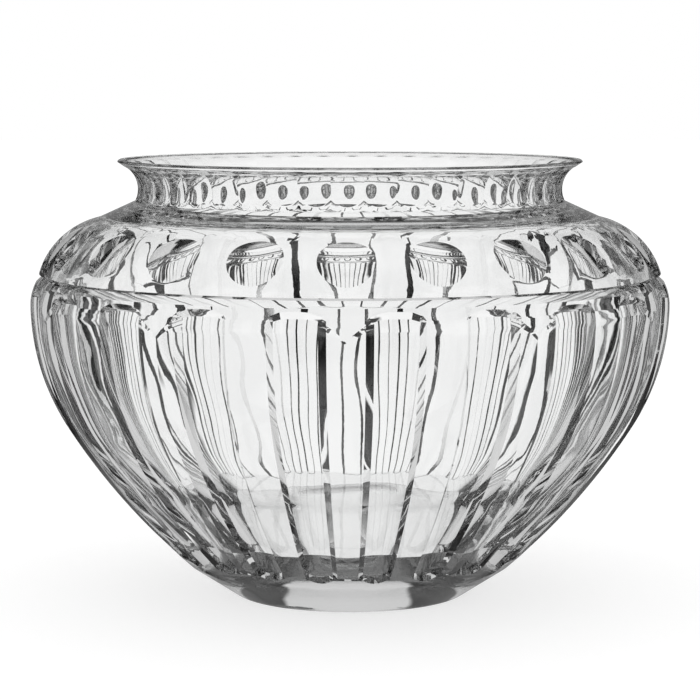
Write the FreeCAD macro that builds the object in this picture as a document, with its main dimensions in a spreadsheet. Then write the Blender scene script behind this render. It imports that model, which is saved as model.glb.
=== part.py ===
"""Cut crystal vase: one blown blank of clear lead crystal, hollow and open at the top,
with its whole pattern cut into the outside by wheels.

Millimetres, +Z up, the origin at the middle of the ground foot, the middle of one
ridged pillar facing -Y.  The blank is turned first.  Then one cut of each kind is made
and repeated round the axis, as a cutter indexes the vase round under the wheel.
"""
import FreeCAD, Part
import math
import os
import re

import Sketcher
from FreeCAD import Placement, Rotation, Vector

SIZES = [
    # overall
    ("belly_radius", 125.0, "widest circle of the vase"),
    ("belly_height", 114.6, "height of the widest circle"),
    ("rim_height", 170.8, "top of the lip"),
    ("rim_radius", 90.8, "sharp outer edge of the lip"),
    # outside of the blank, from the foot up
    ("foot_radius", 46.0, "edge of the ground foot"),
    ("foot_ring", 10.0, "width of the flat ring that the vase rests on"),
    ("foot_hollow", 1.0, "depth of the polished hollow inside that ring"),
    ("foot_flat", 12.0, "radius of the hollow's flat middle"),
    ("skirt_radius", 63.8, "circle where the plain foot meets the wall"),
    ("skirt_height", 11.7, "height of that circle"),
    ("flank_inset", 34.5, "belly radius less the radius half way up the flank"),
    ("flank_drop", 75.6, "height of the flank below the belly"),
    ("haunch_inset", 13.8, "belly radius less the radius of the haunch"),
    ("haunch_drop", 47.2, "height of the haunch below the belly"),
    ("swell_inset", 3.6, "belly radius less the radius between haunch and belly"),
    ("swell_drop", 24.6, "height of the swell below the belly"),
    ("crown_inset", 0.9, "belly radius less the radius of the rounding over the belly"),
    ("crown_rise", 6.2, "height of that rounding above the belly"),
    ("ledge_inset", 4.5, "belly radius less the radius of the ledge's inner corner"),
    ("ledge_rise", 11.5, "height of that corner above the belly"),
    ("edge_inset", 3.5, "belly radius less the radius of the shoulder's lower edge"),
    ("edge_rise", 12.3, "height of that edge above the belly"),
    ("shoulder_inset", 10.6, "belly radius less the radius at the middle of the shoulder"),
    ("shoulder_rise", 24.5, "height of that middle above the belly"),
    ("crease_inset", 26.5, "belly radius less the radius of the crease over the shoulder"),
    ("crease_rise", 33.4, "height of the crease above the belly"),
    ("collar_drop", 16.2, "height of the neck's foot below the rim"),
    ("neck_radius", 82.9, "waist of the neck"),
    ("neck_drop", 11.6, "height of the waist below the rim"),
    ("neck_hollow", 10.2, "radius of the neck's hollow outline"),
    ("lip_under", 2.7, "width of the lip's underside"),
    ("lip_bevel", 1.8, "height of the lip's underside"),
    ("lip_edge", 2.2, "width of the lip's rounded top"),
    ("lip_crown", 0.9, "height of the lip's rounded top"),
    # inside of the blank
    ("neck_wall", 5.2, "wall at the waist of the neck"),
    ("throat_flare", 2.3, "what the inside opens by where the neck meets the body"),
    ("throat_drop", 22.0, "height of that meeting below the rim"),
    ("shoulder_wall", 8.0, "wall at the middle of the shoulder, measured level"),
    ("belly_wall", 8.5, "wall at the belly"),
    ("haunch_wall", 12.0, "wall at the haunch, measured level"),
    ("floor_radius", 64.0, "edge of the dished inside floor"),
    ("floor_flat", 12.0, "radius of its flat middle"),
    ("floor_height", 30.0, "height of the middle of the inside floor"),
    ("floor_dish", 1.0, "rise of the floor from its flat middle to its edge"),
    ("well_inset", 41.0, "belly radius less the inside radius where the wall starts"),
    ("well_rise", 20.0, "height of that start above the middle of the floor"),
    ("well_round", 10.0, "how far in from there the rounding round the floor bends"),
    ("well_low", 10.0, "height of that bend above the middle of the floor"),
    # the pattern cut into the wall
    ("repeats", 11.0, "times that the pattern goes round"),
    ("pillar_half", 3.25, "half the angle across the top of a pillar"),
    ("flute_half", 3.75, "half the angle across the floor of a flute"),
    ("flute_depth", 2.3, "depth of a flute at its sides"),
    ("flute_hollow", 0.8, "how much deeper a flute is along its middle"),
    ("flute_rise", 5.2, "height above the belly up to which a flute is at full depth"),
    ("flute_runout", 2.6, "height over which its top comes out"),
    ("flute_foot", 8.0, "height above the skirt down to which it is at full depth"),
    ("foot_runout", 3.0, "height over which its foot comes out"),
    ("foot_swell", 0.9, "what the wall stands out there past a straight line to the flank"),
    ("ridge_depth", 1.3, "depth of a ridged pillar's facets at their sides"),
    ("ridge_cut", 0.3, "depth of the ridge between those facets"),
    # thumb prints round the shoulder
    ("print_wheel", 40.0, "radius of the wheel that cuts a thumb print"),
    ("print_rim", 24.0, "radius of that wheel's rounded edge"),
    ("print_depth", 2.8, "depth of a thumb print"),
    ("print_tilt", 47.0, "tilt of a thumb print's axis above the level"),
    # flutes round the neck
    ("neck_rim", 22.0, "radius of the rounded edge of the wheel that flutes the neck"),
    ("neck_cut", 1.05, "depth of a neck flute"),
    ("neck_low", 24.0, "angle below the level where a neck flute starts"),
    ("neck_high", 50.0, "angle above the level where it ends"),
]
PRINTS_PER_REPEAT = 2
FLUTES_PER_REPEAT = 2
NECK_FLUTES_PER_REPEAT = 4
PITCHES_PER_REPEAT = 4          # ridged pillar, flute, plain pillar, flute
CLEAR_OF_BLANK = 4.0            # how far a cutter's back stands off the glass
CLEAR_OF_FLUTE = 1.0            # how far a flute's cutter ends off the glass

doc = FreeCAD.newDocument("Vase")
sheet = doc.addObject("Spreadsheet::Sheet", "Sizes")
for row, (alias, value, note) in enumerate(SIZES, start=1):
    sheet.set(f"A{row}", alias)
    sheet.set(f"B{row}", str(value))
    sheet.set(f"C{row}", note)
    sheet.setAlias(f"B{row}", alias)
doc.recompute()
ALIASES = {alias for alias, _, _ in SIZES}


def bound(text):
    """An expression with each of the sheet's aliases spelt out in full."""
    return re.sub(r"[a-z_]+", lambda m: f"Sizes.{m[0]}" if m[0] in ALIASES else m[0], text)


def value_of(text):
    return float(sheet.evalExpression(bound(text)))


def attach(body, name, role, shift=None, turn="0"):
    """A sketch on one of the body's own origin planes, moved and then tipped about X."""
    sketch = body.newObject("Sketcher::SketchObject", name)
    plane = next(f for f in body.Origin.OriginFeatures if f.Role == role)
    sketch.AttachmentSupport = [(plane, "")]
    sketch.MapMode = "FlatFace"
    if shift:
        places = [value_of(text) for text in shift]
        tipped = Rotation(Vector(1, 0, 0), value_of(turn))
        sketch.AttachmentOffset = Placement(Vector(*places), tipped)
        for axis, text in zip("xyz", shift):
            sketch.setExpression(f"AttachmentOffset.Base.{axis}", bound(text))
    return sketch


def pin(sketch, geometry, place, x, y):
    """Hold one point of a sketch at x, y, each bound to the sheet."""
    for axis, text in (("X", x), ("Y", y)):
        length = value_of(text)
        index = sketch.addConstraint(
            Sketcher.Constraint(f"Distance{axis}", -1, 1, geometry, place, length))
        if text.strip("0. "):
            sketch.setExpression(f"Constraints[{index}]", bound(text))


def arc_through(start, middle, end):
    """A counterclockwise arc through three points, and whether it runs from the start."""
    centre = Part.Arc(start, middle, end).toShape().Curve.Center
    forward = (middle - start).cross(end - middle).z > 0
    first, last = [
        math.atan2(point.y - centre.y, point.x - centre.x)
        for point in ((start, end) if forward else (end, start))
    ]
    if last < first:
        last += 2 * math.pi
    circle = Part.Circle(centre, Vector(0, 0, 1), centre.distanceToPoint(start))
    return Part.ArcOfCircle(circle, first, last), forward


def draw(sketch, steps):
    """Draw a closed outline.

    Each step is (x, y) for a corner reached by a straight line, or (mid_x, mid_y, x, y)
    for one reached by an arc through a middle point.  The first step is the start, and
    the outline closes on it with a straight line.
    """
    points = [Vector(value_of(s[-2]), value_of(s[-1]), 0) for s in steps]
    count = len(steps)
    ends = []
    for i in range(count):
        step = steps[(i + 1) % count]
        start, end = points[i], points[(i + 1) % count]
        if len(step) == 4 and i + 1 < count:
            middle = Vector(value_of(step[0]), value_of(step[1]), 0)
            arc, forward = arc_through(start, middle, end)
            geometry = sketch.addGeometry(arc, False)
            ends.append((geometry, 1, 2) if forward else (geometry, 2, 1))
            mark = sketch.addGeometry(Part.Point(middle), True)
            pin(sketch, mark, 1, step[0], step[1])
            sketch.addConstraint(Sketcher.Constraint("PointOnObject", mark, 1, geometry))
        else:
            geometry = sketch.addGeometry(Part.LineSegment(start, end), False)
            ends.append((geometry, 1, 2))
    for i, step in enumerate(steps):
        geometry, first, _ = ends[i]
        before, _, last = ends[i - 1]
        sketch.addConstraint(
            Sketcher.Constraint("Coincident", before, last, geometry, first))
        pin(sketch, geometry, first, step[-2], step[-1])


def repeat(body, features, name, occurrences):
    """Repeat a cut, made of one or more features, round the vase's axis."""
    axis = next(f for f in body.Origin.OriginFeatures if f.Role == "Z_Axis")
    pattern = body.newObject("PartDesign::PolarPattern", name)
    pattern.Originals = features
    pattern.Axis = (axis, [""])
    pattern.Angle = 360.0
    pattern.Occurrences = round(value_of(occurrences))
    pattern.setExpression("Occurrences", bound(occurrences))
    body.Tip = pattern
    doc.recompute()
    return pattern


def below(name):
    """A named circle of the blank below the belly, as radius and height."""
    return f"belly_radius - {name}_inset", f"belly_height - {name}_drop"


def above(name):
    """A named circle of the blank above the belly, as radius and height."""
    return f"belly_radius - {name}_inset", f"belly_height + {name}_rise"


SKIRT = ("skirt_radius", "skirt_height")
BELLY = ("belly_radius", "belly_height")
WAIST = ("neck_radius", "rim_height - neck_drop")
COLLAR = ("neck_radius + neck_hollow - sqrt(neck_hollow^2 - (collar_drop - neck_drop)^2)",
          "rim_height - collar_drop")
FLARE = ("rim_radius - lip_under", "rim_height - lip_crown - lip_bevel")
FLOOR = ("floor_radius", "floor_height + floor_dish")
WELL = ("belly_radius - well_inset", "floor_height + well_rise")


def dished(flat, edge, level, rise):
    """A dish's arc from its edge in to its flat middle, as the arc's own middle."""
    return f"({flat} + {edge}) / 2", f"{level} + ({rise}) / 4"


def turn_blank(body):
    """The blown blank, ground flat at the foot: outside up to the lip, then inside down."""
    outline = [
        ("0", "foot_hollow"),
        ("foot_flat", "foot_hollow"),
        (*dished("foot_flat", "foot_radius - foot_ring", "foot_hollow", "-foot_hollow"),
         "foot_radius - foot_ring", "0"),
        ("foot_radius", "0"),
        SKIRT,
        (*below("flank"), *below("haunch")),
        (*below("swell"), *BELLY),
        (*above("crown"), *above("ledge")),
        above("edge"),
        (*above("shoulder"), *above("crease")),
        COLLAR,
        (*WAIST, *FLARE),
        ("rim_radius", "rim_height - lip_crown"),
        ("rim_radius - lip_edge / 2", "rim_height",
         "rim_radius - lip_edge", "rim_height - lip_crown"),
        ("neck_radius - neck_wall", "rim_height - neck_drop",
         "neck_radius - neck_wall + throat_flare", "rim_height - throat_drop"),
        ("belly_radius - shoulder_inset - shoulder_wall", "belly_height + shoulder_rise",
         "belly_radius - belly_wall", "belly_height"),
        ("belly_radius - haunch_inset - haunch_wall", "belly_height - haunch_drop", *WELL),
        ("belly_radius - well_inset - well_round", "floor_height + well_low", *FLOOR),
        (*dished("floor_flat", "floor_radius", "floor_height", "floor_dish"),
         "floor_flat", "floor_height"),
        ("0", "floor_height"),
    ]
    sketch = attach(body, "BlankOutline", "XZ_Plane")
    draw(sketch, outline)
    blank = body.newObject("PartDesign::Revolution", "Blank")
    blank.Profile = sketch
    blank.ReferenceAxis = (sketch, ["V_Axis"])
    blank.Angle = 360.0
    doc.recompute()
    return blank


PITCH = f"(360 / ({PITCHES_PER_REPEAT} * repeats))"
WALL_STATIONS = [below("flank"), below("haunch"), below("swell"), BELLY]
FLUTE_FOOT = ("skirt_radius + flute_foot * (belly_radius - flank_inset - skirt_radius)"
              " / (belly_height - flank_drop - skirt_height) + foot_swell",
              "skirt_height + flute_foot")
FLUTE_TOP = ("belly_radius - crown_inset * (flute_rise / crown_rise)^2",
             "belly_height + flute_rise")


def polar(radius, angle):
    """A corner of a level section, at a radius and at an angle round from +X."""
    return f"({radius}) * cos({angle})", f"({radius}) * sin({angle})"


def cut_through(body, name, stations, corners):
    """Cut with a smooth cutter through level sections.

    stations are (radius, height, lift), lift being how far the cutter is drawn back
    there, and corners(radius) gives the section for a blank of that radius.
    """
    sections = []
    for number, (radius, height, lift) in enumerate(stations):
        sketch = attach(body, f"{name}Section{number}", "XY_Plane", ("0", "0", height))
        draw(sketch, corners(f"{radius} + {lift}"))
        sections.append(sketch)
    cut = body.newObject("PartDesign::SubtractiveLoft", name)
    cut.Profile = sections[0]
    cut.Sections = sections[1:]
    cut.Ruled = len(sections) == 2
    doc.recompute()
    return cut


def flute_section(radius):
    """A shallow hollow floor between two sloping walls, open to the outside."""
    middle = f"(-90 + {PITCH})"
    top_half = f"({PITCH} - pillar_half)"
    slope = f"(({top_half} - flute_half) * {CLEAR_OF_BLANK} / flute_depth)"
    floor, out = f"{radius} - flute_depth", f"{radius} + {CLEAR_OF_BLANK}"
    return [
        polar(out, f"{middle} - {top_half} - {slope}"),
        polar(floor, f"{middle} - flute_half"),
        (*polar(f"({floor} - flute_hollow)", middle),
         *polar(floor, f"{middle} + flute_half")),
        polar(out, f"{middle} + {top_half} + {slope}"),
    ]


def ridge_section(radius):
    """Two facets that fall away from a ridge down the middle of a pillar."""
    middle, side = "(-90)", f"({PITCH} - flute_half)"
    floor, out = f"{radius} - ridge_depth", f"{radius} + {CLEAR_OF_BLANK}"
    return [
        polar(out, f"{middle} - {side}"),
        polar(floor, f"{middle} - {side}"),
        polar(f"{radius} - ridge_cut", middle),
        polar(floor, f"{middle} + {side}"),
        polar(out, f"{middle} + {side}"),
    ]


def cut_flutes(body):
    """The tall flutes between the pillars, with a short run-out at both ends."""
    drawn_back = f"flute_depth + flute_hollow + {CLEAR_OF_FLUTE}"
    wall = [(*station, "0") for station in [FLUTE_FOOT, *WALL_STATIONS, FLUTE_TOP]]
    foot_exit = (FLUTE_FOOT[0], f"{FLUTE_FOOT[1]} - foot_runout", "0")
    top_exit = (FLUTE_TOP[0], f"{FLUTE_TOP[1]} + flute_runout", drawn_back)
    flute = cut_through(body, "Flute", wall, flute_section)
    top = cut_through(body, "FluteTop", [wall[-1], top_exit], flute_section)
    foot = cut_through(body, "FluteFoot", [foot_exit, wall[0]], flute_section)
    repeat(body, [flute, top, foot], "Flutes", f"{FLUTES_PER_REPEAT} * repeats")


def cut_ridges(body):
    """The facets of every second pillar, whose ridge runs out in a V below the ledge."""
    lifts = ["0", "0", "0", "0", "ridge_cut", "ridge_depth"]
    wall = zip([FLUTE_FOOT, *WALL_STATIONS, FLUTE_TOP], lifts)
    ridge = cut_through(body, "Ridge", [(*place, lift) for place, lift in wall],
                        ridge_section)
    repeat(body, [ridge], "Ridges", "repeats")


def wheel_cut(body, name, centre, wheel, rim, low=None, high=None):
    """Cut the front of the vase with a wheel whose edge is rounded and whose axle is level.

    centre is the axle's radius and height.  low and high are the angles below and above
    the level between which the wheel cuts, and without them it cuts all round.
    """
    start = f"-({low})" if low else "0"
    place = ("0", f"-({centre[0]})", centre[1])
    sketch = attach(body, f"{name}Wheel", "XY_Plane", place, start)
    reach = f"sqrt(({rim})^2 - ({rim} - ({wheel}))^2)"
    draw(sketch, [(f"-{reach}", "0"), ("0", wheel, reach, "0")])
    cut = body.newObject("PartDesign::Groove", name)
    cut.Profile = sketch
    cut.ReferenceAxis = (sketch, ["H_Axis"])
    cut.Angle = 360.0
    if low:
        cut.Angle = value_of(f"{low} + {high}")
        cut.setExpression("Angle", bound(f"{low} + {high}"))
        sketch.setExpression("AttachmentOffset.Rotation.Angle", bound(start))
    doc.recompute()
    return cut


def cut_thumb_prints(body):
    """The round hollows along the middle of the shoulder."""
    radius, height = above("shoulder")
    reach = "(print_wheel - print_depth)"
    axle = (f"{radius} + {reach} * cos(print_tilt)", f"{height} + {reach} * sin(print_tilt)")
    thumb = wheel_cut(body, "ThumbPrint", axle, "print_wheel", "print_rim")
    repeat(body, [thumb], "ThumbPrints", f"{PRINTS_PER_REPEAT} * repeats")


def cut_neck_flutes(body):
    """The narrow flutes that follow the neck's hollow outline."""
    axle = ("neck_radius + neck_hollow", "rim_height - neck_drop")
    flute = wheel_cut(body, "NeckFlute", axle, "neck_hollow + neck_cut", "neck_rim",
                      "neck_low", "neck_high")
    repeat(body, [flute], "NeckFlutes", f"{NECK_FLUTES_PER_REPEAT} * repeats")


def make_vase():
    body = doc.addObject("PartDesign::Body", "Vase")
    body.Label = "vase"
    body.Placement = Placement(Vector(0, 0, 0), Rotation())
    turn_blank(body)
    cut_neck_flutes(body)
    cut_thumb_prints(body)
    cut_ridges(body)
    cut_flutes(body)
    return body


def check(parts):
    """Stop on any object that failed, or on a part that is not one valid solid."""
    doc.recompute()
    for item in doc.Objects:
        if {"Invalid", "Error"} & set(item.State):
            raise RuntimeError(f"{item.Label}: {item.State}")
    for part in parts:
        shape = part.Shape
        if shape.isNull() or not shape.isValid() or len(shape.Solids) != 1:
            raise RuntimeError(f"{part.Label}: not one valid solid")


parts = [make_vase()]
check(parts)
os.makedirs("parts", exist_ok=True)
for part in parts:
    part.Shape.exportStep(f"parts/{part.Label}.step")
    box = part.Shape.optimalBoundingBox()
    print(f"{part.Label}: {box.XLength:.1f} x {box.YLength:.1f} x {box.ZLength:.1f} mm,"
          f" {part.Shape.Volume / 1000:.0f} cm3, {len(part.Shape.Faces)} faces")
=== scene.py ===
"""A cut crystal vase on a white table.

The crystal is one closed mesh, built as a cutter works: rings up the outside of the
blank, over the lip and down the inside, with every ring's points lying on the edges
that the wheels leave.  Millimetres while shaping, metres in the finished piece.
"""

import math

import bpy
import numpy as np
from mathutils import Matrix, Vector

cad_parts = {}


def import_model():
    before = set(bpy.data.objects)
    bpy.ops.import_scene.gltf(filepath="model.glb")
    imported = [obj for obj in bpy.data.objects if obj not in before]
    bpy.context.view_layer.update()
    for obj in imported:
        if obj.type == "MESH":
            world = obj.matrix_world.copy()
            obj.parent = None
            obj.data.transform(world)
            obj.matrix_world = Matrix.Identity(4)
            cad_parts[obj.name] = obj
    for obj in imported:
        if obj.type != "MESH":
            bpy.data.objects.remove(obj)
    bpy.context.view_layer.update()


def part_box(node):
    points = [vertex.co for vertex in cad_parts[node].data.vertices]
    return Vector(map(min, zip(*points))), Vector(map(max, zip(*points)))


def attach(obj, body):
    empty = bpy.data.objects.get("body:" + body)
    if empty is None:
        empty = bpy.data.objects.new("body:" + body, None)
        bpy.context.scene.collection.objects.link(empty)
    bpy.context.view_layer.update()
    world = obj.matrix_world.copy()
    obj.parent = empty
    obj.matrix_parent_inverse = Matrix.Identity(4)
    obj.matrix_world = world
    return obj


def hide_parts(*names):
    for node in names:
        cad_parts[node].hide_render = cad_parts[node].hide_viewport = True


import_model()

MM = 0.001
low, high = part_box("vase")
# drawn in by this much, so that no point of the skin lies outside the solid's own box
DRAWN_IN = 0.06
BELLY_RADIUS = high.y / MM - DRAWN_IN
RIM_HEIGHT = high.z / MM
BELLY_HEIGHT = RIM_HEIGHT - 56.2
RIM_RADIUS = BELLY_RADIUS - 34.2

# the pattern goes round eleven times; a cell is half of one repeat, from the middle of
# a ridged pillar to the middle of a plain one
REPEATS = 11
CELL = math.pi / REPEATS
NECK_FLUTES = 4 * REPEATS
DEGREE = math.pi / 180
RIDGED_HALF = 3.17 * DEGREE
WIDE_WALL = 1.40 * DEGREE
NARROW_WALL = 0.89 * DEGREE
PLAIN_HALF = 3.44 * DEGREE
FLUTE_LEFT = RIDGED_HALF + WIDE_WALL
FLUTE_RIGHT = CELL - PLAIN_HALF - NARROW_WALL
COLUMNS = {"ridged": 3, "wide": 2, "floor": 6, "narrow": 2, "plain": 3}
CELL_COLUMNS = sum(COLUMNS.values())
HALF_CELL = CELL_COLUMNS // 2
RING = 2 * REPEATS * CELL_COLUMNS

FLUTE_DEPTH = 2.4
FLUTE_HOLLOW = 0.8
RIDGE_CUT = 0.15
FACET_DEPTH = 0.7
PRINT_RADIUS = 10.4
PRINT_DEPTH = 2.8
PRINT_PLACE = 0.435
NECK_CUT = 0.4
INSIDE_WAVE = 0.12
SHARP_EDGE = 9 * DEGREE


# ---------------------------------------------------------------- outlines

def share(value, start, end):
    """How far value has gone from start to end, kept between 0 and 1."""
    return np.clip((value - start) / (end - start), 0.0, 1.0)


def circle_through(start, middle, end):
    """Centre and radius of the circle through three points."""
    (ax, ay), (bx, by), (cx, cy) = start, middle, end
    twice = 2 * (ax * (by - cy) + bx * (cy - ay) + cx * (ay - by))
    a, b, c = ax * ax + ay * ay, bx * bx + by * by, cx * cx + cy * cy
    x = (a * (by - cy) + b * (cy - ay) + c * (ay - by)) / twice
    y = (a * (cx - bx) + b * (ax - cx) + c * (bx - ax)) / twice
    return np.array([x, y]), math.hypot(ax - x, ay - y)


def arc(start, middle, end, steps):
    """Points of an arc through three points, both ends included."""
    centre, radius = circle_through(start, middle, end)
    turns = [math.atan2(p[1] - centre[1], p[0] - centre[0]) for p in (start, middle, end)]
    turns = np.unwrap(turns)
    spread = np.linspace(turns[0], turns[2], steps + 1)
    return centre + radius * np.c_[np.cos(spread), np.sin(spread)]


def line(start, end, steps):
    """Points of a straight stretch, both ends included."""
    return np.linspace(np.array(start, float), np.array(end, float), steps + 1)


def joined(*stretches):
    """Stretches of outline end to end, with each shared point kept once."""
    return np.vstack([stretches[0]] + [s[1:] for s in stretches[1:]])


# points of the outline as radius and height, up the outside and down the inside
FOOT_FLAT = (12.0, 1.0)
FOOT_BEND = (24.0, 0.75)
FOOT_INNER = (36.0, 0.0)
FOOT_EDGE = (46.0, 0.0)
SKIRT = (63.8, 11.7)
FLANK = (90.5, 39.0)
HAUNCH = (BELLY_RADIUS - 13.8, BELLY_HEIGHT - 47.2)
SWELL = (BELLY_RADIUS - 3.6, BELLY_HEIGHT - 24.6)
BELLY = (BELLY_RADIUS, BELLY_HEIGHT)
CROWN = (BELLY_RADIUS - 0.7, BELLY_HEIGHT + 5.0)
BEVEL = (BELLY_RADIUS - 2.2, BELLY_HEIGHT + 8.8)
LEDGE = (BELLY_RADIUS - 4.9, BELLY_HEIGHT + 11.3)
EDGE = (BELLY_RADIUS - 3.5, BELLY_HEIGHT + 12.3)
CREST = (BELLY_RADIUS - 10.6, BELLY_HEIGHT + 24.5)
CREASE = (BELLY_RADIUS - 26.5, BELLY_HEIGHT + 33.4)
COLLAR = (BELLY_RADIUS - 41.0, RIM_HEIGHT - 16.2)
WAIST = (BELLY_RADIUS - 42.1, RIM_HEIGHT - 11.6)
FLARE = (RIM_RADIUS - 2.7, RIM_HEIGHT - 2.7)
TIP = (RIM_RADIUS, RIM_HEIGHT - 0.9)
LIP = (RIM_RADIUS - 1.1, RIM_HEIGHT)
LIP_INNER = (RIM_RADIUS - 2.2, RIM_HEIGHT - 0.9)
THROAT_WAIST = (WAIST[0] - 5.2, WAIST[1])
THROAT = (WAIST[0] - 2.9, RIM_HEIGHT - 22.0)
INNER_SHOULDER = (CREST[0] - 8.0, CREST[1])
INNER_BELLY = (BELLY_RADIUS - 8.5, BELLY_HEIGHT)
INNER_HAUNCH = (HAUNCH[0] - 12.0, HAUNCH[1])
WELL = (BELLY_RADIUS - 41.0, 50.0)
WELL_BEND = (BELLY_RADIUS - 51.0, 40.0)
FLOOR_EDGE = (64.0, 31.0)
FLOOR_BEND = (38.0, 30.25)
FLOOR_FLAT = (12.0, 30.0)

WALL = joined(
    arc(SKIRT, FLANK, HAUNCH, 300),
    arc(HAUNCH, SWELL, BELLY, 200),
    arc(BELLY, CROWN, BEVEL, 60),
    line(BEVEL, LEDGE, 20),
)


def wall_radius(height):
    """Radius of the uncut wall at a height between the skirt and the ledge."""
    return np.interp(height, WALL[:, 1], WALL[:, 0])


class Profile:
    """A stretch of outline that can be read at a distance along it."""

    def __init__(self, points):
        self.points = points
        steps = np.hypot(*np.diff(points, axis=0).T)
        self.along = np.concatenate([[0.0], np.cumsum(steps)])
        self.length = self.along[-1]

    def at(self, distance):
        """Radius and height at a distance, and the outward normal there."""
        def place(along):
            return [np.interp(along, self.along, self.points[:, k]) for k in (0, 1)]

        reach = 0.5
        ahead, behind = place(distance + reach), place(distance - reach)
        across, up = ahead[0] - behind[0], ahead[1] - behind[1]
        size = np.hypot(across, up)
        return *place(distance), up / size, -across / size


SHOULDER = Profile(arc(EDGE, CREST, CREASE, 200))
NECK = Profile(arc(COLLAR, WAIST, FLARE, 200))


# ---------------------------------------------------------------- columns

def cell_angles():
    """Angles of one cell's columns, from a ridged pillar's middle to a plain one's."""
    stops = [0.0, RIDGED_HALF, FLUTE_LEFT, FLUTE_RIGHT, CELL - PLAIN_HALF, CELL]
    spans = [np.linspace(a, b, n + 1)[:-1]
             for a, b, n in zip(stops, stops[1:], COLUMNS.values())]
    return np.concatenate(spans + [[CELL]])


CELL_ANGLES = cell_angles()
ACROSS = np.concatenate([
    np.concatenate([CELL_ANGLES[:-1], CELL_ANGLES[:0:-1]]) for _ in range(REPEATS)])
TURN = np.concatenate([
    np.concatenate([2 * CELL * k + CELL_ANGLES[:-1], 2 * CELL * (k + 1) - CELL_ANGLES[:0:-1]])
    for k in range(REPEATS)])
EVEN_TURN = np.arange(RING) * 2 * math.pi / RING


def ring(radius, height, turn=EVEN_TURN):
    """One ring of points; radius and height may differ from column to column."""
    radius = np.broadcast_to(radius, turn.shape)
    height = np.broadcast_to(height, turn.shape)
    return np.c_[radius * np.sin(turn), -radius * np.cos(turn), height]


def turned(points):
    """Rings of a plain stretch of outline."""
    return [ring(r, z) for r, z in points]


def blown(points):
    """Rings of the inside, with the slow waves that blown glass is left with."""
    rings = []
    for radius, height in points:
        calm = share(height, WELL[1] - 6, WELL[1] + 8) * share(height, RIM_HEIGHT - 16, BELLY_HEIGHT)
        wave = (np.sin(height / 6.1 + 3.0 * np.sin(2 * EVEN_TURN + 0.4))
                * np.sin(7 * EVEN_TURN + height / 19.0)
                + 0.7 * np.sin(height / 9.7 - 11 * EVEN_TURN + 1.9))
        rings.append(ring(radius + INSIDE_WAVE * calm * wave, height))
    return rings


# ---------------------------------------------------------------- the fluted wall

def flute_across():
    """Depth of a full flute in each column, how far off its middle the column is, and how
    much of the flute's own depth the column has."""
    off = (ACROSS - (FLUTE_LEFT + FLUTE_RIGHT) / 2) / ((FLUTE_RIGHT - FLUTE_LEFT) / 2)
    hollow = FLUTE_HOLLOW * np.clip(1 - off ** 2, 0, None)
    rise = share(ACROSS, RIDGED_HALF, FLUTE_LEFT)
    fall = 1 - share(ACROSS, FLUTE_RIGHT, CELL - PLAIN_HALF)
    held = np.minimum(rise, fall)
    return FLUTE_DEPTH * held + hollow, np.clip(off, -1, 1), held


def facet_across():
    """Depth of a ridged pillar's facets in each column."""
    slope = RIDGE_CUT + (FACET_DEPTH - RIDGE_CUT) * share(ACROSS, 0, RIDGED_HALF)
    return slope * (1 - share(ACROSS, RIDGED_HALF, FLUTE_LEFT))


# where the cuts of the wall end: a flute's round start over the skirt, its arched top over
# the belly, and the vee that closes the facets of a ridged pillar
FLUTE_START, FLUTE_START_CURVE, FLUTE_RUN_IN = 3.7, 1.5, 2.4
LINTEL_RISE, LINTEL_DROOP = 4.9, 0.9
ARCH_RISE, ARCH_CROWN = 2.4, 0.4
VEE_DROP, VEE_RISE, VEE_RUN_OUT = 2.8, 6.0, 1.2


def wall_stations():
    """The heights, column by column, of the lines that every cut of the wall ends on."""
    _, off, held = flute_across()
    rounded = np.sqrt(1 - 0.9 * (1 - held) ** 2)
    lintel = BELLY_HEIGHT + LINTEL_RISE - LINTEL_DROOP * off ** 6
    arch = lintel + (ARCH_RISE + ARCH_CROWN * (1 - off ** 2)) * rounded
    foot_end = SKIRT[1] + FLUTE_START + FLUTE_START_CURVE * off ** 2
    foot_full = foot_end + FLUTE_RUN_IN * rounded
    vee = share(ACROSS, 0, RIDGED_HALF)
    vee_end = BELLY_HEIGHT - VEE_DROP + VEE_RISE * vee ** 0.8
    vee_full = vee_end - VEE_RUN_OUT - VEE_RUN_OUT * vee
    level = np.ones(RING)
    return [SKIRT[1] * level, foot_end, foot_full, vee_full, vee_end, lintel, arch,
            BEVEL[1] * level, LEDGE[1] * level]


def fluted_wall():
    """Rings from the skirt up to the ledge."""
    stations = wall_stations()
    _, foot_end, foot_full, vee_full, vee_end, lintel, arch, _, _ = stations
    flute = flute_across()[0]
    facet = facet_across()
    rings = []
    for start, end, steps in zip(stations, stations[1:], (3, 3, 46, 2, 3, 3, 2, 2)):
        for k in range(steps):
            height = start + (end - start) * k / steps
            rising = share(height, foot_end, foot_full)
            depth = flute * np.minimum(rising, 1 - share(height, lintel, arch))
            depth = depth + facet * np.minimum(rising, 1 - share(height, vee_full, vee_end))
            rings.append(ring(wall_radius(height) - depth, height, TURN))
    rings.append(ring(LEDGE[0], LEDGE[1], TURN))
    return rings


# ---------------------------------------------------------------- the shoulder

def on_disc(across, up):
    """A point of the unit square moved to the unit disc, rings of squares to circles."""
    if across == 0 and up == 0:
        return 0.0, 0.0
    if abs(across) >= abs(up):
        reach, turn = across, math.pi / 4 * up / across
    else:
        reach, turn = up, math.pi / 2 - math.pi / 4 * across / up
    return reach * math.cos(turn), reach * math.sin(turn)


PRINT_COLUMNS = 6


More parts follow.
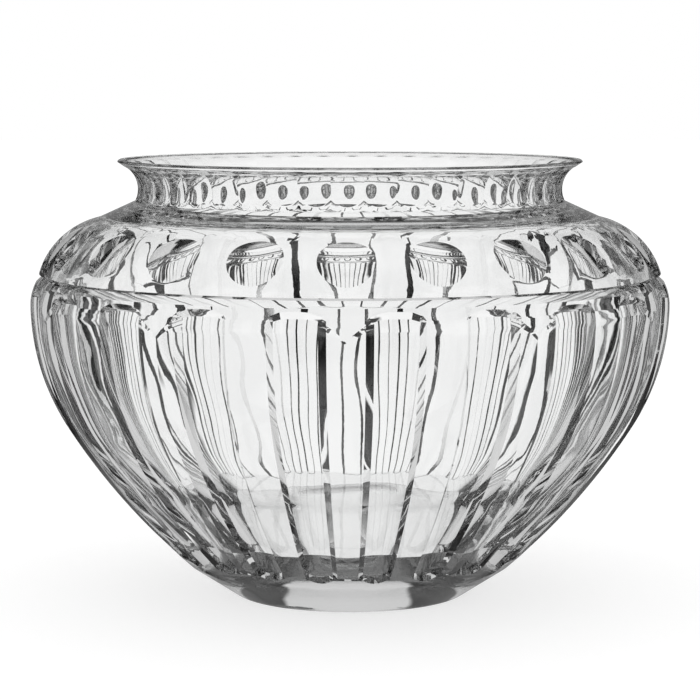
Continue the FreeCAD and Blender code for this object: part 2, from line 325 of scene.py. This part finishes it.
def shoulder_cell(side):
    """Angle, distance up the shoulder and print depth of one cell's grid of points.

    side is 1 where the cell is centred on a ridged pillar and -1 on a plain one.
    """
    middle = SHOULDER.length * PRINT_PLACE
    bottom = CELL_ANGLES[:HALF_CELL + 1] if side > 0 else CELL - CELL_ANGLES[::-1][:HALF_CELL + 1]
    bottom = np.concatenate([-bottom[:0:-1], bottom])
    index = np.arange(-HALF_CELL, HALF_CELL + 1)
    top = index * 2 * math.pi / RING
    grid = np.zeros((len(index), len(index), 3))
    for row, up in enumerate(index):
        for column, across in enumerate(index):
            size = max(abs(up), abs(across))
            aim = (across / size, up / size) if size else (0.0, 0.0)
            disc = on_disc(*aim)
            scale = min(size / PRINT_COLUMNS, 1.0)
            along = middle + PRINT_RADIUS * scale * disc[1]
            radius = SHOULDER.at(along)[0]
            turn = PRINT_RADIUS * scale * disc[0] / radius
            depth = PRINT_DEPTH * (1 - scale ** 2)
            if size > PRINT_COLUMNS:
                blend = (size - PRINT_COLUMNS) / (HALF_CELL - PRINT_COLUMNS)
                level = (aim[1] + 1) / 2
                border_turn = ((1 - level) * np.interp(aim[0] * HALF_CELL, index, bottom)
                               + level * np.interp(aim[0] * HALF_CELL, index, top))
                along += (level * SHOULDER.length - along) * blend
                turn += (border_turn - turn) * blend
            grid[row, column] = turn, along, depth
    return grid


def shoulder():
    """Rings from the shoulder's lower edge up to the crease, each cell with its print."""
    cells = [shoulder_cell(1), shoulder_cell(-1)]
    rings = []
    for row in range(CELL_COLUMNS + 1):
        turn, along, depth = [np.zeros(RING) for _ in range(3)]
        for number in range(2 * REPEATS):
            places = (number * CELL_COLUMNS + np.arange(-HALF_CELL, HALF_CELL)) % RING
            values = cells[number % 2][row, :-1]
            turn[places] = number * CELL + values[:, 0]
            along[places], depth[places] = values[:, 1], values[:, 2]
        radius, height, out, up = SHOULDER.at(along)
        rings.append(ring(radius - depth * out, height - depth * up, turn))
    return rings


# ---------------------------------------------------------------- the neck and lip

NECK_COLUMNS = RING // NECK_FLUTES
NECK_START, NECK_START_CURVE, NECK_RUN_IN = 0.4, 1.6, 1.3
NECK_FADE, NECK_STOP = 1.6, 0.3


def neck():
    """Rings of the fluted neck, each flute rounded at its foot and faded out under the lip."""
    off = ((np.arange(RING) + NECK_COLUMNS / 2) % NECK_COLUMNS) / (NECK_COLUMNS / 2) - 1
    start = NECK_START + NECK_START_CURVE * off ** 2
    full = start + NECK_RUN_IN
    fading = np.full(RING, NECK.length - NECK_FADE)
    end = np.full(RING, NECK.length - NECK_STOP)
    stations = [np.zeros(RING), start, full, fading, end]
    rings = []
    for a, b, steps in zip(stations, stations[1:], (1, 3, 16, 2)):
        for k in range(steps):
            along = a + (b - a) * k / steps
            held = np.minimum(share(along, start, full), 1 - share(along, fading, end))
            depth = NECK_CUT * (1 - off ** 2) * held
            radius, height, out, up = NECK.at(along)
            rings.append(ring(radius - depth * out, height - depth * up))
    return rings


def rings_of_crystal():
    """Every ring in order, from the hollow of the foot round to the floor inside."""
    foot = turned(joined(arc(FOOT_FLAT, FOOT_BEND, FOOT_INNER, 6),
                         line(FOOT_INNER, FOOT_EDGE, 2),
                         line(FOOT_EDGE, SKIRT, 4))[:-1])
    slope = turned(line(CREASE, COLLAR, 4)[1:-1])
    lip = turned(joined(line(FLARE, TIP, 2), arc(TIP, LIP, LIP_INNER, 14)))
    inside = blown(joined(arc(LIP_INNER, THROAT_WAIST, THROAT, 16),
                          arc(THROAT, INNER_SHOULDER, INNER_BELLY, 16),
                          arc(INNER_BELLY, INNER_HAUNCH, WELL, 40),
                          arc(WELL, WELL_BEND, FLOOR_EDGE, 8),
                          arc(FLOOR_EDGE, FLOOR_BEND, FLOOR_FLAT, 8))[1:])
    return foot + fluted_wall() + shoulder() + slope + neck() + lip + inside


def crystal_mesh():
    """One closed skin from the middle of the foot, over the lip, to the middle of the floor."""
    rings = rings_of_crystal()
    points = np.vstack(rings) * MM
    first, last = len(points), len(points) + 1
    points = np.vstack([points, [0, 0, FOOT_FLAT[1] * MM], [0, 0, FLOOR_FLAT[1] * MM]])
    here = np.arange(RING)
    after = (here + 1) % RING
    faces = []
    for k in range(len(rings) - 1):
        a, b = k * RING, (k + 1) * RING
        faces += np.c_[a + here, a + after, b + after, b + here].tolist()
    top = (len(rings) - 1) * RING
    faces += np.c_[after, here, np.full(RING, first)].tolist()
    faces += np.c_[top + here, top + after, np.full(RING, last)].tolist()
    mesh = bpy.data.meshes.new("vase_crystal")
    mesh.from_pydata(points.tolist(), [], faces)
    mesh.validate()
    mesh.shade_smooth()
    mesh.set_sharp_from_angle(angle=SHARP_EDGE)
    return mesh


# ---------------------------------------------------------------- shader maths

class Signal:
    """A node socket on which plain arithmetic adds Math nodes."""

    def __init__(self, graph, socket):
        self.graph, self.socket = graph, socket

    def maths(self, operation, *others):
        return self.graph.node("ShaderNodeMath", {"operation": operation}, self, *others)[0]

    def __add__(self, other):
        return self.maths("ADD", other)

    def __mul__(self, other):
        return self.maths("MULTIPLY", other)

    def __sub__(self, other):
        return self.maths("SUBTRACT", other)

    def __rsub__(self, other):
        return self * -1 + other

    __radd__, __rmul__ = __add__, __mul__

    def step(self, start, end):
        """0 at start, 1 at end, smooth between; start may be the larger."""
        settings = {"interpolation_type": "SMOOTHSTEP"}
        return self.graph.node("ShaderNodeMapRange", settings, self, start, end)[0]

    def larger(self, other):
        return self.maths("MAXIMUM", other)

    def smaller(self, other):
        return self.maths("MINIMUM", other)


class Graph:
    """A node tree to which nodes are added by type, settings and input values or links."""

    def __init__(self, tree):
        self.tree = tree

    def node(self, kind, settings=None, *inputs, **named):
        made = self.tree.nodes.new(kind)
        for name, value in (settings or {}).items():
            setattr(made, name, value)
        given = [*zip(made.inputs, inputs)]
        given += [(made.inputs[name.replace("_", " ")], value) for name, value in named.items()]
        for socket, value in given:
            if isinstance(value, Signal):
                self.tree.links.new(value.socket, socket)
            else:
                socket.default_value = value
        return [Signal(self, socket) for socket in made.outputs]


def light_path(graph):
    """What is known of the ray being followed, by name."""
    return {output.socket.name: output for output in graph.node("ShaderNodeLightPath")}


# ---------------------------------------------------------------- crystal

INDEX_OF_CRYSTAL = 1.545
GROUND_TOP = 0.0012
GROUND_BOTTOM = 0.0006
RIPPLE_HEIGHT = 0.00006


def crystal_material():
    """Clear crystal with faint cords, the slow ripple and fine lines of polished cuts,
    and a foot that is ground where it stands."""
    material = bpy.data.materials.new("polished_crystal")
    material.use_nodes = True
    graph = Graph(material.node_tree)
    shader = material.node_tree.nodes["Principled BSDF"]
    shader.inputs["IOR"].default_value = INDEX_OF_CRYSTAL
    shader.inputs["Transmission Weight"].default_value = 1.0
    place = graph.node("ShaderNodeTexCoord")[3]
    height = graph.node("ShaderNodeSeparateXYZ", None, place)[2]

    def noise(across, along, detail):
        """Noise with this many waves to the metre round the vase and up it."""
        spread = graph.node("ShaderNodeVectorMath", {"operation": "MULTIPLY"},
                            place, (across, across, along))[0]
        return graph.node("ShaderNodeTexNoise", None, Vector=spread, Scale=1.0, Detail=detail)[0]

    cords = noise(30, 120, 2.0)
    tint = graph.node("ShaderNodeCombineXYZ", None,
                      0.984 + cords * 0.014, 0.99 + cords * 0.008, 0.988 + cords * 0.01)[0]
    ripple = noise(95, 28, 1.0)
    lines = noise(900, 40, 2.0)
    grain = noise(2500, 2500, 3.0)
    ground = height.step(GROUND_TOP, GROUND_BOTTOM)
    surface = ripple + lines * 0.02 + ground * grain * 0.05
    finish = {
        "Base Color": tint,
        "Roughness": ground * (0.1 + grain * 0.15),
        "Normal": graph.node("ShaderNodeBump", None, Strength=1.0, Distance=RIPPLE_HEIGHT,
                             Height=surface)[0],
    }
    for name, value in finish.items():
        material.node_tree.links.new(value.socket, shader.inputs[name])
    return material


vase = bpy.data.objects.new("vase_crystal", crystal_mesh())
bpy.context.scene.collection.objects.link(vase)
vase.data.materials.append(crystal_material())
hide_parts("vase")
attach(vase, "root")


# ---------------------------------------------------------------- table, light and camera

TABLE_REACH = 6.0
TABLE_GREY = 0.5
TABLE_GLOW = 0.64


def table():
    """A white table.  It glows to the camera alone, so the light on the vase stays as it is,
    and it is hidden from the glass, which sees the world in its place."""
    mesh = bpy.data.meshes.new("table")
    corners = [(x * TABLE_REACH, y * TABLE_REACH, 0) for x, y in ((-1, -1), (1, -1), (1, 1), (-1, 1))]
    mesh.from_pydata(corners, [], [(0, 1, 2, 3)])
    top = bpy.data.objects.new("table", mesh)
    bpy.context.scene.collection.objects.link(top)
    top.location.z = low.z
    material = bpy.data.materials.new("white_table")
    material.use_nodes = True
    path = light_path(Graph(material.node_tree))
    shader = material.node_tree.nodes["Principled BSDF"]
    shader.inputs["Base Color"].default_value = (TABLE_GREY, TABLE_GREY, TABLE_GREY, 1)
    shader.inputs["Roughness"].default_value = 0.5
    shader.inputs["Specular IOR Level"].default_value = 0.0
    material.node_tree.links.new(path["Is Camera Ray"].socket, shader.inputs["Emission Color"])
    shader.inputs["Emission Strength"].default_value = TABLE_GLOW
    top.data.materials.append(material)
    top.visible_glossy = top.visible_transmission = False


SCREENS = 8
GAP_EDGES = (-0.6, -0.35)
SCREEN_TOP = math.sin(36 * DEGREE)
SCREEN_SOFT = 0.03
SOFTBOX = math.sin(58 * DEGREE)
SOFTBOX_SOFT = 0.04
TABLE_EDGE = math.sin(-26 * DEGREE)
TABLE_SOFT = 0.2
LEVEL_BAND = 0.12
ROOM = 0.01
LOST_OUTSIDE = 0.7
LOST_INSIDE = 0.3
LOST_AGAIN = 0.1
LOST_AGAIN_RISING = 0.5
ON_THE_TABLE = 0.9
THROUGH_THE_GLASS = 0.45


def studio_seen(graph):
    """How bright the studio is in each direction: a ring of white screens with dark gaps
    between them, the dark room over them, a soft light overhead and a white table below.
    With it comes how far a direction has turned from downwards to upwards."""
    direction = graph.node("ShaderNodeTexCoord")[0]
    east, north, up = graph.node("ShaderNodeSeparateXYZ", None, direction)
    turn = east.maths("ARCTAN2", north)
    screen = (turn * SCREENS).maths("COSINE").step(*GAP_EDGES)
    screen = screen.larger(up.step(TABLE_EDGE, TABLE_EDGE - TABLE_SOFT))
    below_top = up.step(SCREEN_TOP + SCREEN_SOFT, SCREEN_TOP - SCREEN_SOFT)
    low_light = below_top * (screen * (1 - ROOM) + ROOM)
    overhead = up.step(SOFTBOX - SOFTBOX_SOFT, SOFTBOX + SOFTBOX_SOFT)
    return low_light.larger(overhead).larger(ROOM), up.step(-LEVEL_BAND, LEVEL_BAND)


def world():
    """White to the camera, and the studio to rays that the crystal bends or mirrors.

    A mirrored ray loses light, more when it never entered the glass than when it did.  It
    loses a little again when it is mirrored once more, and much again if it leaves upwards
    then, as in a room that is dark in front and above.  Light that reaches the table is
    even, and weaker through the glass.
    """
    sky = bpy.data.worlds.new("studio")
    bpy.context.scene.world = sky
    sky.use_nodes = True
    sky.node_tree.nodes.clear()
    sky.cycles.sampling_method = "NONE"
    graph = Graph(sky.node_tree)
    seen, rising = studio_seen(graph)
    path = light_path(graph)
    mirrored = path["Glossy Depth"].smaller(1)
    again = (path["Glossy Depth"] - 1).larger(0).smaller(1)
    through = path["Transmission Depth"].smaller(1)
    thrown = path["Diffuse Depth"].smaller(1)
    kept = 1 - mirrored * (LOST_OUTSIDE - through * (LOST_OUTSIDE - LOST_INSIDE))
    kept = (kept - again * (rising * LOST_AGAIN_RISING + LOST_AGAIN)).larger(0)
    bent = path["Is Glossy Ray"].larger(path["Is Transmission Ray"]) * seen * kept
    soft = ON_THE_TABLE - through * (ON_THE_TABLE - THROUGH_THE_GLASS)
    strength = (thrown * soft + (1 - thrown) * bent).larger(path["Is Camera Ray"])
    background = graph.node("ShaderNodeBackground", None, (1, 1, 1, 1), strength)[0]
    graph.node("ShaderNodeOutputWorld", None, background)


LENS = 131.1
EYE_BEARING = 0.64 * DEGREE
EYE_DISTANCE = 1.0
EYE_HEIGHT = 0.2073
AIM_HEIGHT = 0.0954


def camera():
    """A long lens a metre off, a little above the vase and nearly square on to a pillar."""
    lens = bpy.data.cameras.new("camera")
    lens.sensor_width = 36.0
    lens.lens = LENS
    lens.clip_start, lens.clip_end = 0.05, 50
    eye = bpy.data.objects.new("camera", lens)
    bpy.context.scene.collection.objects.link(eye)
    eye.location = (EYE_DISTANCE * math.sin(EYE_BEARING), -EYE_DISTANCE * math.cos(EYE_BEARING),
                    EYE_HEIGHT)
    aim = Vector((0, 0, AIM_HEIGHT)) - eye.location
    eye.rotation_euler = aim.to_track_quat("-Z", "Y").to_euler()
    bpy.context.scene.camera = eye


table()
world()
camera()
scene = bpy.context.scene
scene.view_settings.view_transform = "Standard"
scene.cycles.max_bounces = 32
scene.cycles.transmission_bounces = 32
scene.cycles.glossy_bounces = 16
